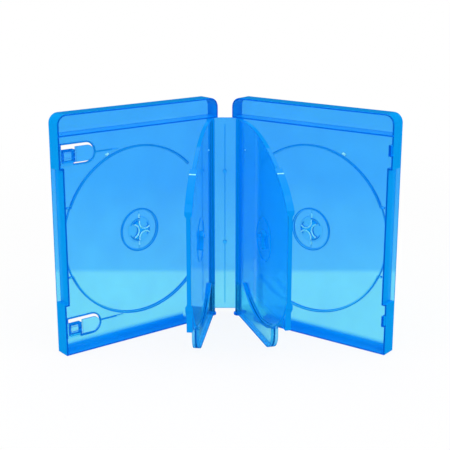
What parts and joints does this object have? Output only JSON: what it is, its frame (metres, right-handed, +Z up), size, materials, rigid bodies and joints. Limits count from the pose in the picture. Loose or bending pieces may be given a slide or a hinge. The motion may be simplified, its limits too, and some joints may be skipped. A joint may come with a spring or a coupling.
{
  "type": "flip tray disc case",
  "caption": "Translucent blue moulded disc case standing open like a book, with a spine on living hinges, two covers with disc wells and two swinging disc trays between them.",
  "frame": {"origin": "on the table, under the centre of the open case's box", "axes": "+X from the front cover to the back cover, +Y from the open side to the spine, +Z up"},
  "size_m": [0.2391, 0.1229, 0.1715],
  "materials": {
    "shell": "glossy translucent blue injection moulded polypropylene",
    "tray": "glossy translucent blue injection moulded polypropylene"
  },
  "bodies": {
    "spine": {"spine": "shell", "front_hinge_web": "shell", "back_hinge_web": "shell"},
    "front_cover": {"front_cover": "shell"},
    "back_cover": {"back_cover": "shell"},
    "front_tray": {"front_tray": "tray"},
    "back_tray": {"back_tray": "tray"}
  },
  "joints": [
    {"name": "front_cover_hinge", "type": "hinge", "parent": "spine", "child": "front_cover", "pos_m": [-0.0125, 0.06128, 0], "axis": [0, 0, 1], "range_deg": [-38, 52], "deforming": ["front_hinge_web"]},
    {"name": "front_tray_hinge", "type": "hinge", "parent": "front_cover", "child": "front_tray", "pos_m": [-0.01042, 0.05212, 0], "axis": [0, 0, 1], "range_deg": [-45.25, 33.08]},
    {"name": "back_cover_hinge", "type": "hinge", "parent": "spine", "child": "back_cover", "pos_m": [0.0125, 0.06128, 0], "axis": [0, 0, -1], "range_deg": [-37.1, 52.9], "deforming": ["back_hinge_web"]},
    {"name": "back_tray_hinge", "type": "hinge", "parent": "back_cover", "child": "back_tray", "pos_m": [0.01056, 0.05209, 0], "axis": [0, 0, -1], "range_deg": [-36.35, 25.51]}
  ],
  "couplings": [
    {"joint": "front_tray_hinge", "follows": "front_cover_hinge", "ratio": -0.86923},
    {"joint": "back_tray_hinge", "follows": "back_cover_hinge", "ratio": -0.6862}
  ]
}
